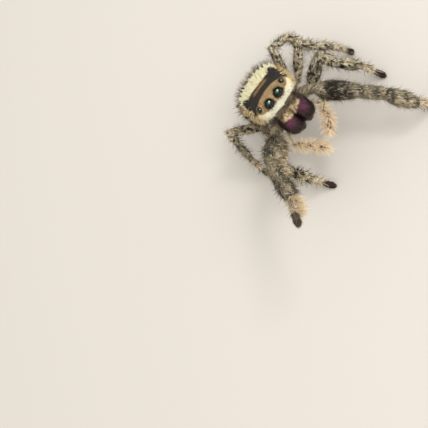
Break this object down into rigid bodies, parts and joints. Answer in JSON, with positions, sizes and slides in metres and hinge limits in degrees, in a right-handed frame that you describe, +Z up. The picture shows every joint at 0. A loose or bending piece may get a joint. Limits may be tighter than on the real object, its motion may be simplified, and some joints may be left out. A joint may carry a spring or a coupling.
{
  "type": "jumping spider",
  "caption": "Still, life-size jumping spider standing with its head reared, one foreleg raised and its feelers drawn together; no moving parts.",
  "frame": {"origin": "middle of the footprint, on the floor that the feet stand on", "axes": "the spider faces -Y and its own left side is at +X; +Z is up"},
  "size_m": [0.0174, 0.0196, 0.013],
  "materials": {
    "cream_hair": "short dense hair",
    "grey_hair": "mottled hair",
    "pale_hair": "sparse pale hair over pale skin",
    "peach_hair": "long bristly hair",
    "abdomen_hair": "short dense hair",
    "dark_claw": "dark horn and dense dark hair",
    "jaw_shell": "glossy iridescent purple shell",
    "eye_lens": "polished black lens"
  },
  "bodies": {
    "root": {"eye_big_front_left": "eye_lens", "eye_big_front_right": "eye_lens", "eye_side_front_left": "eye_lens", "eye_side_front_right": "eye_lens", "eye_small_middle_left": "eye_lens", "eye_small_middle_right": "eye_lens", "eye_rear_left": "eye_lens", "eye_rear_right": "eye_lens", "head_shield": "cream_hair", "breast_plate": "grey_hair", "jaw_left": "jaw_shell", "fang_left": "dark_claw", "palp_left": "peach_hair", "jaw_right": "jaw_shell", "fang_right": "dark_claw", "palp_right": "peach_hair", "waist": "grey_hair", "abdomen": "abdomen_hair", "spinnerets": "abdomen_hair", "leg1_left_femur": "grey_hair", "leg1_left_patella": "grey_hair", "leg1_left_tibia": "grey_hair", "leg1_left_metatarsus": "pale_hair", "leg1_left_tarsus": "dark_claw", "leg1_right_femur": "grey_hair", "leg1_right_patella": "grey_hair", "leg1_right_tibia": "grey_hair", "leg1_right_metatarsus": "pale_hair", "leg1_right_tarsus": "dark_claw", "leg2_left_femur": "grey_hair", "leg2_left_patella": "grey_hair", "leg2_left_tibia": "grey_hair", "leg2_left_metatarsus": "pale_hair", "leg2_left_tarsus": "dark_claw", "leg2_right_femur": "grey_hair", "leg2_right_patella": "grey_hair", "leg2_right_tibia": "grey_hair", "leg2_right_metatarsus": "pale_hair", "leg2_right_tarsus": "dark_claw", "leg3_left_femur": "grey_hair", "leg3_left_patella": "grey_hair", "leg3_left_tibia": "grey_hair", "leg3_left_metatarsus": "pale_hair", "leg3_left_tarsus": "dark_claw", "leg3_right_femur": "grey_hair", "leg3_right_patella": "grey_hair", "leg3_right_tibia": "grey_hair", "leg3_right_metatarsus": "pale_hair", "leg3_right_tarsus": "dark_claw", "leg4_left_femur": "grey_hair", "leg4_left_patella": "grey_hair", "leg4_left_tibia": "grey_hair", "leg4_left_metatarsus": "pale_hair", "leg4_left_tarsus": "dark_claw", "leg4_right_femur": "grey_hair", "leg4_right_patella": "grey_hair", "leg4_right_tibia": "grey_hair", "leg4_right_metatarsus": "pale_hair", "leg4_right_tarsus": "dark_claw"}
  },
  "joints": []
}
